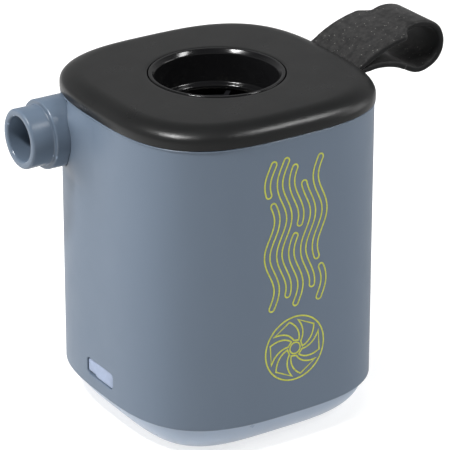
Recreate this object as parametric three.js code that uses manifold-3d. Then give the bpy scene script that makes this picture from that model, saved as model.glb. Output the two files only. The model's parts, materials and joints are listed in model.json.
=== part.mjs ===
// Rechargeable air mattress pump: a rounded-square casing with a centrifugal fan,
// its motor and battery inside, an air inlet in the lid, an outlet nozzle on one side,
// a lamp in the base and a silicone carrying strap.
// Millimetres, +Z up. The origin is the centre of the lamp's flat underside.
// -X is the side with the nozzle and the charging socket, +Y the side with the button
// and +X the side with the strap.

import * as THREE from 'three';
import { mergeVertices } from 'three/addons/utils/BufferGeometryUtils.js';
import Module from 'manifold-3d';

const wasm = await Module();
wasm.setup();

// ---------------------------------------------------------------- driving dimensions
const CORNER_POWER = 3.07;          // roundness of the rounded-square outline
const CASE_HALF = 25.1;             // half the width over the casing at its top
const CASE_FOOT_HALF = 25.25;       // and at its bottom
const WALL = 1.9;
const GAP = 0.3;                    // between pieces that touch
const CASE_BOTTOM = 5.6;
const CASE_TOP = 59.35;
const LID_HALF = 25.3;
const LID_BOTTOM = CASE_TOP + GAP;
const LID_EDGE = 60.5;              // where the lid's side starts to round over
const LID_TOP = 63;
const LID_CEILING = 61.3;
const LID_LIP_BOTTOM = 58.7;        // foot of the lip inside the casing
const LID_FLAT_HALF = 21.4;
const LID_INNER_HALF = 22;
const LID_LIP_HALF = 22.9;
const INNER_HALF = CASE_HALF - WALL;
const FIT_HALF = INNER_HALF - 0.5;  // plates that slide down inside the casing

const BASE_FLAT_HALF = 20.05;
const BASE_TOP_HALF = 23.1;
const BASE_SLOPE_POWER = 2.28;      // how much the base's slope bulges
const BASE_CORNER_POWER = 3.8;      // the base is squarer than the case
const BASE_WALL = 1.6;
const BASE_RIM = CASE_BOTTOM + 1;
const BASE_RIM_INNER = 21.4;

const RING_OUTER = 12.25;
const RING_BORE = 11.05;
const RING_TOP = 63.1;
const LEDGE_TOP = 56.7;
const LEDGE_BOTTOM = 55.9;
const RING_EYE = 9.9;
const EYE_R = 8.6;                  // eye of the fan cover

const NOZZLE_Y = 13.9;
const NOZZLE_Z = 52.5;
const NOZZLE_AT = [NOZZLE_Y, NOZZLE_Z];
const NOZZLE_TIP_X = -32.9;
const NOZZLE_BORE = 4.13;
const NOZZLE_TUBE = 5.54;
const NOZZLE_COLLAR = 6.44;
const NOZZLE_STEP_X = -28.6;
const NOZZLE_SHOULDER_X = -18.2;
const NOZZLE_END_X = -14.7;
const SWELL_BOTTOM = 47;            // swell of the wall around the nozzle's collar
const SWELL_TOP = 58;
const SWELL_OUTLINE = [[-24, -1], [-24.8, -1], [-26.5, 7], [-26.5, 11.5], [-24, 12.5]];

const FLOOR_BOTTOM = 43.9;          // floor of the fan housing
const FLOOR_TOP = 45.7;
const HOUSING_TOP = 56.9;
const COVER_BOTTOM = HOUSING_TOP + GAP;
const COVER_TOP = 58.4;
const CUP_BOTTOM = 53.6;
const CUP_FLOOR = 54.6;
const CUP_INNER = 13.3;
const CUP_OUTER = 14.3;
const SCROLL_START = 15;
const SCROLL_END = 19.6;
const SCROLL_WALL = 1.4;
const SCROLL_FIRST_TURN = 100;      // degrees
const SCROLL_SWEEP = 350;
const HUB_R = 2.6;
const HUB_TOP = 53;
const IMPELLER_R = 13.6;
const IMPELLER_BOTTOM = 46.6;
const IMPELLER_DISC_TOP = 47.6;
const BLADE_TOP = 53.1;
const BLADE_COUNT = 9;
const BLADE_INNER_R = 5.2;
const BLADE_REACH = 8;
const BLADE_LEAN = 0.95;            // radians that a blade turns back
const BLADE_HALF_THICK = 0.45;
const SPOKE_COUNT = 8;

const SHAFT_R = 1;
const MOTOR_R = 12.2;
const MOTOR_BOTTOM = 13.4;
const MOTOR_CAP_TOP = 15.7;
const MOTOR_TOP = 43.6;
const MOTOR_SHEET = 1;
const TERMINAL_Y = [7, -7];
const CORE_R = 8.3;
const CORE_BOTTOM = 21;
const CORE_TOP = 37;
const MAGNET_OUTER = 10.8;
const MAGNET_INNER = 8.9;
const MAGNET_HALF_TURN = 58;        // degrees
const MAGNET_BOTTOM = 19;
const MAGNET_HEIGHT = 20;

const CHASSIS_BOTTOM = 11.9;
const CHASSIS_TOP = 13.1;
const POST = 16.9;                  // screw posts, out from the middle along X and along Y
const POST_TOP = 43.6;
const SCREW_CORNERS = [[POST, POST], [POST, -POST], [-POST, -POST]];
const SCREW_HOLE_R = 1.25;
const MOTOR_SCREWS = [[8, 0], [-8, 0]];
const BOARD_BOTTOM = 6.9;
const BOARD_TOP = 7.9;
const BOARD_HALF = 22.6;
const BOARD_SCREWS = [[0, -15.5], [10, 16]];
const LEAD_HOLES = [[11, 11.5], [11, -11.5], [-3, 19.2], [3, 19.2]];
const LEAD_R = 0.55;
const LED_COUNT = 6;
const LED_CIRCLE_R = 11;
const CELL_LOW = [12.7, -14.6, 13.4];
const CELL_HIGH = [20.5, 14.6, 42];

const USB_Z = 9.8;
const USB_WINDOW = [9.05, 3.3];     // along Y, along Z
const USB_WINDOW_CORNER = 0.8;
const USB_SHELL = [8.94, 3.2];
const USB_SHELL_BORE = [8.34, 2.6];
const USB_FRONT_X = -22.9;
const USB_FLAP_X = -24.1;
const USB_FLAP_HALF = 0.6;          // half its thickness, and the radius of its round end
const BUTTON_Z = 33;
const BUTTON_R = 4.7;
const BUTTON_FACE_Y = 25.2;
const BUTTON_FLANGE_R = 6.2;
const BUTTON_DISH_R = 14;
const BUTTON_DISH_DEPTH = 0.5;

const STRAP_Y = -2;                 // middle of the strap
const STRAP_THICK = 1.25;
const STRAP_ROOT_HALF = 8;
const STRAP_LOOP_HALF = 5.65;
const STRAP_STEP = [34.2, 36.2];    // x where it narrows from its wide root to its loop
const STRAP_HINGE = [26.4, 61.75];  // x, z of the line that the loop bends about
const STRAP_NOSE = 1.25;
const STRAP_PINS = [[19.4, STRAP_Y - 4.5], [19.4, STRAP_Y + 4.5]];
// Middle line of the loop, seen from the side: out along the top, round the eye and back below.
const STRAP_LINE = [
  [26.4, 62.4], [28, 63.5], [29.8, 64.4], [32.1, 65.1], [34.2, 65.55], [36.2, 66.1], [38.2, 66.6],
  [40.2, 66.5], [42, 65.9], [43.5, 64.6], [44.2, 62.6], [43.95, 60.6], [42.8, 59], [40.9, 58],
  [39.2, 57.75], [37.5, 58.25], [35.6, 59.35], [33.4, 60.5], [31, 61.15], [28.6, 61.3], [26.4, 61.1],
];
// Section of the tongue under the lid that the loop hangs on.
const TONGUE_OUTLINE = [
  [17.2, COVER_TOP + GAP], [21.6, COVER_TOP + GAP], [22.8, 60.4], [24.8, 60.4],
  [24.8, 62], [21.6, 62], [21.6, LID_CEILING - GAP], [17.2, LID_CEILING - GAP],
];
const NOTCH_X = [21.1, 27];
const NOTCH_Z = [58, 62.4];

const FINE = 48;                    // sides of the large outlines
const MEDIUM = 28;
const COARSE = 12;

// ---------------------------------------------------------------- materials
const FINISHES = {
  casing: [0x7d8896, 0.42, 0],
  lid: [0x1b1b1c, 0.5, 0],
  ring: [0x0c0c0d, 0.12, 0],
  diffuser: [0xb9c7de, 0.35, 0],
  plug: [0xb4c3dd, 0.55, 0],
  silicone: [0x1d1d1e, 0.8, 0],
  button: [0x232426, 0.5, 0],
  fan: [0xe4e2dc, 0.45, 0],
  inner: [0x2c2d30, 0.6, 0],
  board: [0x1f5b3a, 0.5, 0],
  chip: [0x161616, 0.4, 0],
  steel: [0xb8bcc0, 0.3, 1],
  magnet: [0x3a3b3e, 0.6, 0.3],
  copper: [0xb5713c, 0.35, 1],
  cell: [0xc3c6c9, 0.4, 0.4],
  foam: [0x3b3d40, 0.95, 0],
  led: [0xf2edc2, 0.3, 0],
  red: [0xa5231d, 0.5, 0],
  black: [0x141414, 0.5, 0],
};

const materials = {};
for (const [name, [color, roughness, metalness]] of Object.entries(FINISHES)) {
  materials[name] = new THREE.MeshStandardMaterial({ name, color, roughness, metalness });
}

// ---------------------------------------------------------------- solids
function weld(geometry) {
  const bare = new THREE.BufferGeometry();
  bare.setAttribute('position', geometry.getAttribute('position').clone());
  if (geometry.index) bare.setIndex(geometry.index.clone());
  return mergeVertices(bare, 1e-4);
}

function signedVolume(position, triangles) {
  const a = new THREE.Vector3();
  const b = new THREE.Vector3();
  const c = new THREE.Vector3();
  let total = 0;
  for (let i = 0; i < triangles.length; i += 3) {
    a.fromBufferAttribute(position, triangles[i]);
    b.fromBufferAttribute(position, triangles[i + 1]);
    c.fromBufferAttribute(position, triangles[i + 2]);
    total += a.dot(b.cross(c)) / 6;
  }
  return total;
}

// Closed surface to solid, with its faces turned outwards.
function solid(geometry) {
  const welded = weld(geometry);
  const position = welded.getAttribute('position');
  const index = welded.index.array;
  const triangles = [];
  for (let i = 0; i < index.length; i += 3) {
    const [a, b, c] = [index[i], index[i + 1], index[i + 2]];
    if (a !== b && b !== c && c !== a) triangles.push(a, b, c);
  }
  if (signedVolume(position, triangles) < 0) triangles.reverse();
  return new wasm.Manifold(new wasm.Mesh({
    numProp: 3,
    vertProperties: new Float32Array(position.array),
    triVerts: new Uint32Array(triangles),
  }));
}

function geometryOf(body) {
  const { vertProperties, triVerts } = body.getMesh();
  const geometry = new THREE.BufferGeometry();
  geometry.setAttribute('position', new THREE.BufferAttribute(vertProperties, 3));
  geometry.setIndex(new THREE.BufferAttribute(triVerts, 1));
  geometry.computeVertexNormals();
  return geometry;
}

const join = (first, ...others) => others.reduce((sum, body) => sum.add(body), first);
const cut = (first, ...others) => others.reduce((rest, body) => rest.subtract(body), first);

const pump = new THREE.Group();

function place(name, finish, body) {
  const mesh = new THREE.Mesh(geometryOf(body), materials[finish]);
  mesh.name = name;
  pump.add(mesh);
}

// Box between two corners.
function block([x0, y0, z0], [x1, y1, z1]) {
  const box = new THREE.BoxGeometry(x1 - x0, y1 - y0, z1 - z0);
  box.translate((x0 + x1) / 2, (y0 + y1) / 2, (z0 + z1) / 2);
  return solid(box);
}

const TURN_TO = {
  x: new THREE.Matrix4().makeRotationZ(-Math.PI / 2),
  y: new THREE.Matrix4(),
  z: new THREE.Matrix4().makeRotationX(Math.PI / 2),
};

// Round bar from one height to another along an axis; centre is the point in the other two.
function rod(axis, radius, from, to, [u, v] = [0, 0], segments = COARSE) {
  const bar = new THREE.CylinderGeometry(radius, radius, to - from, segments);
  bar.applyMatrix4(TURN_TO[axis]);
  const middle = (from + to) / 2;
  if (axis === 'x') bar.translate(middle, u, v);
  if (axis === 'y') bar.translate(u, middle, v);
  if (axis === 'z') bar.translate(u, v, middle);
  return solid(bar);
}

// Profile of [radius, z] turned about the Z axis; it is closed here if it leaves the axis.
function turned(profile, segments = MEDIUM) {
  const points = profile.map(([radius, z]) => new THREE.Vector2(radius, z));
  const open = profile[0][0] > 0 || profile.at(-1)[0] > 0;
  if (open) points.push(points[0].clone());
  const lathe = new THREE.LatheGeometry(points, segments);
  lathe.applyMatrix4(TURN_TO.z);
  return lathe;
}

const lathed = (profile, segments) => solid(turned(profile, segments));

// The same with the casing's rounded-square outline in place of the circle.
function squared(profile, segments = FINE, power = CORNER_POWER) {
  const geometry = turned(profile, segments);
  const position = geometry.getAttribute('position');
  for (let i = 0; i < position.count; i += 1) {
    const x = position.getX(i);
    const y = position.getY(i);
    const radius = Math.hypot(x, y);
    if (radius < 1e-6) continue;
    const spread = Math.abs(x / radius) ** power + Math.abs(y / radius) ** power;
    const scale = spread ** (-1 / power);
    position.setXY(i, x * scale, y * scale);
  }
  return solid(geometry);
}

const plate = (half, bottom, top, segments = FINE) =>
  squared([[0, bottom], [half, bottom], [half, top], [0, top]], segments);

const washer = (inner, outer, bottom, top, segments) =>
  lathed([[inner, bottom], [outer, bottom], [outer, top], [inner, top]], segments);

const toVector = ([x, y]) => new THREE.Vector2(x, y);

// Outline pulled straight up from one height to another.
function prism(points, bottom, top) {
  const shape = new THREE.Shape(points);
  const geometry = new THREE.ExtrudeGeometry(shape, { depth: top - bottom, bevelEnabled: false });
  geometry.translate(0, 0, bottom);
  return solid(geometry);
}

// Quarter round of [radius, z] points from a vertical side to a flat top.
function roundOver(middleR, middleZ, width, height, steps) {
  const points = [];
  for (let i = 0; i <= steps; i += 1) {
    const angle = (Math.PI / 2) * (i / steps);
    points.push([middleR + width * Math.cos(angle), middleZ + height * Math.sin(angle)]);
  }
  return points;
}

function lead(name, finish, route) {
  const path = new THREE.CatmullRomCurve3(route.map((point) => new THREE.Vector3(...point)));
  const section = new THREE.Shape();
  section.absarc(0, 0, LEAD_R, 0, Math.PI * 2);
  const tube = new THREE.ExtrudeGeometry(section, { steps: 10, curveSegments: 4, extrudePath: path });
  place(name, finish, solid(tube));
}

// ---------------------------------------------------------------- casing
function caseShell() {
  const shell = squared([
    [INNER_HALF, CASE_BOTTOM], [CASE_FOOT_HALF, CASE_BOTTOM],
    [CASE_HALF, CASE_TOP], [INNER_HALF, CASE_TOP],
  ]);
  const swell = prism(SWELL_OUTLINE.map(toVector), SWELL_BOTTOM, SWELL_TOP);
  const nozzleHole = rod('x', NOZZLE_COLLAR + GAP, -40, -10, NOZZLE_AT, MEDIUM);
  const buttonHole = rod('y', BUTTON_R + GAP, 20, 30, [0, BUTTON_Z], MEDIUM);
  return cut(join(shell, swell), nozzleHole, buttonHole, usbWindow());
}

function roundedSlab(width, height, radius, depth) {
  const shape = new THREE.Shape();
  const [w, h] = [width / 2, height / 2];
  shape.absarc(w - radius, h - radius, radius, 0, Math.PI / 2);
  shape.absarc(radius - w, h - radius, radius, Math.PI / 2, Math.PI);
  shape.absarc(radius - w, radius - h, radius, Math.PI, Math.PI * 1.5);
  shape.absarc(w - radius, radius - h, radius, Math.PI * 1.5, Math.PI * 2);
  return new THREE.ExtrudeGeometry(shape, { depth, bevelEnabled: false, curveSegments: 3 });
}

// Turns a slab drawn in X-Y so that it stands in Y-Z and its depth runs towards +X.
const STAND_IN_YZ = new THREE.Matrix4().makeBasis(
  new THREE.Vector3(0, 1, 0),
  new THREE.Vector3(0, 0, 1),
  new THREE.Vector3(1, 0, 0),
);

function usbWindow() {
  const window = roundedSlab(...USB_WINDOW, USB_WINDOW_CORNER, 8);
  window.applyMatrix4(STAND_IN_YZ);
  window.translate(-28, 0, USB_Z);
  return solid(window);
}

// Rounded-over lid with a short lip inside the casing and a notch for the strap.
function lid() {
  const cap = squared([
    [0, LID_LIP_BOTTOM], [LID_LIP_HALF, LID_LIP_BOTTOM], [LID_LIP_HALF, LID_BOTTOM], [LID_HALF, LID_BOTTOM],
    ...roundOver(LID_FLAT_HALF, LID_EDGE, LID_HALF - LID_FLAT_HALF, LID_TOP - LID_EDGE, 5),
    [0, LID_TOP],
  ]);
  const hollow = plate(LID_INNER_HALF, 50, LID_CEILING);
  const ringHole = rod('z', RING_OUTER + GAP, 50, 70, [0, 0], MEDIUM + 8);
  const notch = block(
    [NOTCH_X[0], STRAP_Y - STRAP_ROOT_HALF - 0.5, NOTCH_Z[0]],
    [NOTCH_X[1], STRAP_Y + STRAP_ROOT_HALF + 0.5, NOTCH_Z[1]],
  );
  const nozzleRelief = rod('x', NOZZLE_COLLAR + GAP, -40, -10, NOZZLE_AT, MEDIUM);
  const screwPockets = SCREW_CORNERS.map((at) => rod('z', 2.3, 50, 60.3, at));
  return cut(cap, hollow, ringHole, notch, nozzleRelief, ...screwPockets);
}

function inletRing() {
  const crest = RING_OUTER - 0.45;
  const lip = roundOver(crest, RING_TOP - 0.4, RING_OUTER - crest, 0.4, 3);
  return lathed([
    [RING_EYE, LEDGE_BOTTOM], [RING_OUTER, LEDGE_BOTTOM], ...lip,
    [RING_BORE + 0.4, RING_TOP - 0.1], [RING_BORE, RING_TOP - 0.7],
    [RING_BORE, LEDGE_TOP + 0.4], [RING_BORE - 0.4, LEDGE_TOP], [RING_EYE, LEDGE_TOP],
  ], MEDIUM + 8);
}

function inletGrille() {
  const bottom = CUP_FLOOR + GAP;
  const top = LEDGE_BOTTOM - GAP;
  let grille = join(
    washer(10.6, 12.6, bottom, top, MEDIUM),
    washer(5.9, 6.8, bottom, top, 24),
    rod('z', 2.2, bottom, top),
  );
  for (let i = 0; i < SPOKE_COUNT; i += 1) {
    const spoke = new THREE.BoxGeometry(9.6, 0.9, top - bottom);
    spoke.translate(6.2, 0, (bottom + top) / 2);
    spoke.rotateZ((Math.PI * 2 * i) / SPOKE_COUNT);
    grille = grille.add(solid(spoke));
  }
  return grille;
}

function nozzle() {
  const rim = 0.35;
  const profile = [
    [NOZZLE_BORE, NOZZLE_TIP_X + rim], [NOZZLE_BORE + rim, NOZZLE_TIP_X],
    [NOZZLE_TUBE - rim, NOZZLE_TIP_X], [NOZZLE_TUBE, NOZZLE_TIP_X + rim],
    [NOZZLE_TUBE, NOZZLE_STEP_X], [NOZZLE_COLLAR - rim, NOZZLE_STEP_X],
    [NOZZLE_COLLAR, NOZZLE_STEP_X + rim], [NOZZLE_COLLAR, NOZZLE_SHOULDER_X],
    [NOZZLE_TUBE, NOZZLE_SHOULDER_X], [NOZZLE_TUBE, NOZZLE_END_X], [NOZZLE_BORE, NOZZLE_END_X],
  ];
  const tube = turned(profile, MEDIUM);
  tube.rotateY(Math.PI / 2);
  tube.translate(0, NOZZLE_Y, NOZZLE_Z);
  return solid(tube);
}

// Cup: a bulging skirt under the case and the neck that plugs into it.
function lampDiffuser() {
  const top = CASE_BOTTOM - GAP;
  const slope = [];
  const steps = 5;
  for (let i = 0; i <= steps; i += 1) {
    const inset = (BASE_TOP_HALF - BASE_FLAT_HALF) * (1 - i / steps) ** BASE_SLOPE_POWER;
    slope.push([BASE_TOP_HALF - inset, (top * i) / steps]);
  }
  const skirt = squared([[0, 0], ...slope, [0, top]], FINE, BASE_CORNER_POWER);
  const neck = plate(INNER_HALF - GAP, top - 1, BASE_RIM);
  const inside = squared([
    [0, BASE_WALL], [BASE_FLAT_HALF - 1.5, BASE_WALL], [BASE_FLAT_HALF, BASE_WALL + 0.8],
    [BASE_RIM_INNER, BASE_RIM], [BASE_RIM_INNER, BASE_RIM + 1], [0, BASE_RIM + 1],
  ]);
  return cut(join(skirt, neck), inside);
}

// ---------------------------------------------------------------- fan
// Outline that grows around the impeller towards the outlet, which it meets on the +Y side.
function scroll(extra) {
  const points = [];
  const steps = 32;
  const first = THREE.MathUtils.degToRad(SCROLL_FIRST_TURN);
  const sweep = THREE.MathUtils.degToRad(SCROLL_SWEEP);
  for (let i = 0; i <= steps; i += 1) {
    const turn = i / steps;
    const radius = SCROLL_START + (SCROLL_END - SCROLL_START) * turn + extra;
    const angle = first + turn * sweep;
    points.push(new THREE.Vector2(radius * Math.cos(angle), radius * Math.sin(angle)));
  }
  return points;
}

function fanHousing() {
  const outletWall = rod('x', 6.9, -17.6, -8, NOZZLE_AT, MEDIUM);
  const ears = SCREW_CORNERS.map((at) => rod('z', 2.5, FLOOR_TOP - 0.5, HOUSING_TOP, at));
  const bulk = join(
    plate(FIT_HALF, FLOOR_BOTTOM, FLOOR_TOP),
    prism(scroll(SCROLL_WALL), FLOOR_TOP - 0.5, HOUSING_TOP),
    outletWall,
    ...ears,
  ).intersect(plate(FIT_HALF, 40, 62));
  const chamber = prism(scroll(0), FLOOR_TOP, HOUSING_TOP + 0.1);
  const lidClearance = rod('z', CUP_OUTER + 0.7, CUP_BOTTOM - GAP, 62, [0, 0], MEDIUM);
  const gasketClearance = rod('z', 16.2, COVER_TOP, 62, [0, 0], MEDIUM);
  const socket = rod('x', NOZZLE_TUBE + GAP, -20, NOZZLE_END_X + GAP, NOZZLE_AT, MEDIUM);
  const duct = rod('x', NOZZLE_BORE, -20, -2, NOZZLE_AT, MEDIUM);
  const screwHoles = SCREW_CORNERS.map((at) => rod('z', SCREW_HOLE_R, 40, 60, at));
  const bearingHole = rod('z', 3.5, 40, 50);
  const motorHoles = MOTOR_SCREWS.flatMap((at) => [
    rod('z', SCREW_HOLE_R, 40, 50, at),
    rod('z', 2.1, FLOOR_TOP - 1, 50, at),
  ]);
  const openings = [chamber, lidClearance, gasketClearance, socket, duct, bearingHole];
  return cut(bulk, ...openings, ...screwHoles, ...motorHoles);
}

function fanCover() {
  const sheet = plate(FIT_HALF, COVER_BOTTOM, COVER_TOP);
  const cup = rod('z', CUP_OUTER, CUP_BOTTOM, COVER_TOP, [0, 0], 48);
  const well = rod('z', CUP_INNER, CUP_FLOOR, 70, [0, 0], 48);
  const eye = rod('z', EYE_R, 50, 70, [0, 0], MEDIUM);
  const outlet = rod('x', 7.2, -30, -7.7, NOZZLE_AT, MEDIUM);
  const outletSide = cut(outlet, rod('z', CUP_OUTER + 0.01, 40, 70, [0, 0], 48));
  const screwHoles = SCREW_CORNERS.map((at) => rod('z', SCREW_HOLE_R, 50, 60, at));
  return cut(join(sheet, cup), well, eye, outletSide, ...screwHoles);
}

const polar = (radius, angle) => new THREE.Vector2(radius * Math.cos(angle), radius * Math.sin(angle));

// Backward-curved blade: a strip between two arcs, from the eye out to the rim.
function bladeOutline(turn) {
  const inner = [];
  const outer = [];
  const steps = 6;
  for (let i = 0; i <= steps; i += 1) {
    const along = i / steps;
    const radius = BLADE_INNER_R + BLADE_REACH * along;
    const angle = turn - BLADE_LEAN * along ** 1.2;
    const half = BLADE_HALF_THICK / radius;
    outer.push(polar(radius, angle + half));
    inner.unshift(polar(radius, angle - half));
  }
  return [...outer, ...inner];
}

function impeller() {
  let wheel = lathed([
    [0, IMPELLER_BOTTOM], [IMPELLER_R, IMPELLER_BOTTOM], [IMPELLER_R, IMPELLER_DISC_TOP],
    [HUB_R + 2, IMPELLER_DISC_TOP], [HUB_R + 0.4, IMPELLER_BOTTOM + 3], [HUB_R, HUB_TOP], [0, HUB_TOP],
  ]);
  for (let i = 0; i < BLADE_COUNT; i += 1) {
    const outline = bladeOutline((Math.PI * 2 * i) / BLADE_COUNT);
    wheel = wheel.add(prism(outline, IMPELLER_DISC_TOP - 0.3, BLADE_TOP));
  }
  return cut(wheel, rod('z', SHAFT_R + 0.1, 40, 52.2, [0, 0], 16));
}

// ---------------------------------------------------------------- motor
function motorCan() {
  const can = rod('z', MOTOR_R, MOTOR_CAP_TOP + GAP, MOTOR_TOP, [0, 0], MEDIUM);
  const bore = rod('z', MOTOR_R - MOTOR_SHEET, 10, MOTOR_TOP - 1.2, [0, 0], MEDIUM);
  const bearingHole = rod('z', 3.4, 40, 50);
  const screwHoles = MOTOR_SCREWS.map((at) => rod('z', SCREW_HOLE_R, 40, 50, at));
  return cut(can, bore, bearingHole, ...screwHoles);
}

function motorCap() {
  const spigotR = MOTOR_R - MOTOR_SHEET - GAP;
  const cap = join(
    rod('z', MOTOR_R, MOTOR_BOTTOM, MOTOR_CAP_TOP, [0, 0], MEDIUM),
    rod('z', spigotR, MOTOR_CAP_TOP - 0.5, MOTOR_CAP_TOP + 1.2, [0, 0], MEDIUM),
  );
  const slots = TERMINAL_Y.map((y) => block([-1.6, y - 0.8, 10], [1.6, y + 0.8, 20]));
  return cut(cap, rod('z', 3.3, 10, 20), ...slots);
}

function armature() {
  let core = rod('z', CORE_R, CORE_BOTTOM, CORE_TOP, [0, 0], MEDIUM);
  const slots = 3;
  for (let i = 0; i < slots; i += 1) {
    const slot = new THREE.BoxGeometry(6.5, 3, CORE_TOP - CORE_BOTTOM + 4);
    slot.translate(7.2, 0, (CORE_BOTTOM + CORE_TOP) / 2);
    slot.rotateZ((Math.PI * 2 * i) / slots);
    core = core.subtract(solid(slot));
  }
  return cut(core, rod('z', SHAFT_R + 0.1, 10, 50, [0, 0], 16));
}

function magnet(middle) {
  const shape = new THREE.Shape();
  const half = THREE.MathUtils.degToRad(MAGNET_HALF_TURN);
  shape.absarc(0, 0, MAGNET_OUTER, middle - half, middle + half, false);
  shape.absarc(0, 0, MAGNET_INNER, middle + half, middle - half, true);
  const settings = { depth: MAGNET_HEIGHT, bevelEnabled: false, curveSegments: 12 };
  const arc = new THREE.ExtrudeGeometry(shape, settings);
  arc.translate(0, 0, MAGNET_BOTTOM);
  return solid(arc);
}

// ---------------------------------------------------------------- chassis and electrics
function chassis() {
  const floor = plate(FIT_HALF, CHASSIS_BOTTOM, CHASSIS_TOP);
  const collar = washer(MOTOR_R + 0.4, MOTOR_R + 1.5, CHASSIS_TOP - 0.5, 21, MEDIUM);
  const posts = SCREW_CORNERS.map((at) => rod('z', 1.8, CHASSIS_TOP - 0.5, POST_TOP, at));
  const bracket = block([-8.5, 15.8, CHASSIS_TOP - 0.5], [8.5, 17, 39.5]);
  const feet = BOARD_SCREWS.map((at) => rod('z', 2.2, BOARD_TOP + GAP, CHASSIS_BOTTOM + 0.5, at));
  const pilots = BOARD_SCREWS.map((at) => rod('z', 1.1, 5, CHASSIS_TOP + 1, at));
  const bulk = join(floor, collar, ...posts, bracket, ...feet);
  const cellSpace = block([12.35, -15, CHASSIS_TOP], [30, 15, 60]);
  const middle = rod('z', 9.5, 10, 14, [0, 0], MEDIUM);
  const screwHoles = SCREW_CORNERS.map((at) => rod('z', SCREW_HOLE_R, 34, 60, at));
  const leadHoles = LEAD_HOLES.map((at) => rod('z', 1.3, 10, 14, at));
  return cut(bulk, cellSpace, middle, ...pilots, ...screwHoles, ...leadHoles);
}

function mainBoard() {
  const holes = BOARD_SCREWS.map((at) => rod('z', SCREW_HOLE_R, 5, 10, at));
  return cut(plate(BOARD_HALF, BOARD_BOTTOM, BOARD_TOP), ...holes);
}

function usbShell() {
  const outside = roundedSlab(...USB_SHELL, 1.2, 7.3);
  const inside = roundedSlab(...USB_SHELL_BORE, 0.95, 6.8);
  for (const slab of [outside, inside]) slab.applyMatrix4(STAND_IN_YZ);
  outside.translate(USB_FRONT_X, 0, USB_Z);
  inside.translate(USB_FRONT_X - 0.1, 0, USB_Z);
  return cut(solid(outside), solid(inside));
}

// Flap with a rounded end, which turns about that end's middle.
function usbFlap() {
  const [length, height] = [USB_WINDOW[0] - 0.7, USB_WINDOW[1] - 0.5];
  const half = USB_FLAP_HALF;
  const barrelY = length / 2 - half;
  const leaf = roundedSlab(length - half, height, 0.9, half * 2);
  leaf.applyMatrix4(STAND_IN_YZ);
  leaf.translate(USB_FLAP_X - half, -half / 2, USB_Z);
  const square = block(
    [USB_FLAP_X - half, barrelY - 1.6, USB_Z - height / 2],
    [USB_FLAP_X + half, barrelY, USB_Z + height / 2],
  );
  const axis = [USB_FLAP_X, barrelY];
  const barrel = rod('z', half, USB_Z - height / 2, USB_Z + height / 2, axis, 16);
  const kept = block([-30, -10, 5], [-20, barrelY, 15]);
  return join(solid(leaf).intersect(kept), square, barrel);
}

// Slotted screw with its head between two heights; its tip is above or below the head.
function screw(at, low, high, tip, headR = 1.9, shankR = 0.95) {
  const up = tip > high;
  const [shankFrom, shankTo] = up ? [high - 0.2, tip] : [tip, low + 0.2];
  const [slotFrom, slotTo] = up ? [low - 1, low + 0.4] : [high - 0.4, high + 1];
  const head = rod('z', headR, low, high, at, 16);
  const shank = rod('z', shankR, shankFrom, shankTo, at);
  const slot = block([at[0] - 1.2, at[1] - 0.25, slotFrom], [at[0] + 1.2, at[1] + 0.25, slotTo]);
  return cut(join(head, shank), slot);
}

function powerButton() {
  const flange = rod('y', BUTTON_FLANGE_R, 22.45, 22.95, [0, BUTTON_Z], MEDIUM);
  const cap = rod('y', BUTTON_R, 22.9, BUTTON_FACE_Y, [0, BUTTON_Z], MEDIUM);
  const dish = new THREE.SphereGeometry(BUTTON_DISH_R, 20, 16);
  dish.translate(0, BUTTON_FACE_Y + BUTTON_DISH_R - BUTTON_DISH_DEPTH, BUTTON_Z);
  return cut(join(flange, cap), solid(dish));
}

// ---------------------------------------------------------------- strap
// Outline in X-Z given depth along Y, equal on both sides of the strap's middle.
function band(outline) {
  const settings = { depth: STRAP_ROOT_HALF * 2, bevelEnabled: false };
  const geometry = new THREE.ExtrudeGeometry(new THREE.Shape(outline), settings);
  geometry.rotateX(Math.PI / 2);
  geometry.translate(0, STRAP_Y + STRAP_ROOT_HALF, 0);
  return geometry;
}

// Narrows the strap from its wide root to its narrower loop.
function taper(geometry) {
  const position = geometry.getAttribute('position');
  for (let i = 0; i < position.count; i += 1) {
    const along = THREE.MathUtils.smoothstep(position.getX(i), ...STRAP_STEP);
    const share = THREE.MathUtils.lerp(1, STRAP_LOOP_HALF / STRAP_ROOT_HALF, along);
    position.setY(i, STRAP_Y + (position.getY(i) - STRAP_Y) * share);
  }
  return geometry;
}

function strapLoop() {
  const line = new THREE.SplineCurve(STRAP_LINE.map(toVector));
  const steps = 48;
  const outer = [];
  const inner = [];
  for (let i = 0; i <= steps; i += 1) {
    const at = line.getPoint(i / steps);
    const along = line.getTangent(i / steps);
    const side = new THREE.Vector2(-along.y, along.x).multiplyScalar(STRAP_THICK / 2);
    outer.push(at.clone().add(side));
    inner.push(at.clone().sub(side));
  }
  const ribbon = solid(taper(band([...outer, ...inner.slice(3, -3).reverse()])));
  const ends = [STRAP_Y - STRAP_ROOT_HALF, STRAP_Y + STRAP_ROOT_HALF];
  return join(ribbon, rod('y', STRAP_NOSE, ...ends, STRAP_HINGE, 24));
}

// Tongue that holds the loop's two ends between the lid and the fan cover.
function strapAnchor() {
  const tongue = solid(band(TONGUE_OUTLINE.map(toVector)));
  return cut(tongue, ...STRAP_PINS.map((at) => rod('z', 1.3, 50, 70, at)));
}

// ---------------------------------------------------------------- assembly
place('body_shell', 'casing', caseShell());
place('outlet_nozzle', 'casing', nozzle());
place('top_cover', 'lid', lid());
place('inlet_ring', 'ring', inletRing());
place('inlet_grille', 'inner', inletGrille());
place('inlet_gasket', 'foam', washer(13.6, 15.8, COVER_TOP + GAP, LID_CEILING - GAP));
place('lamp_diffuser', 'diffuser', lampDiffuser());

place('volute_housing', 'inner', fanHousing());
place('volute_cover', 'inner', fanCover());
place('impeller', 'fan', impeller());

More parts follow.
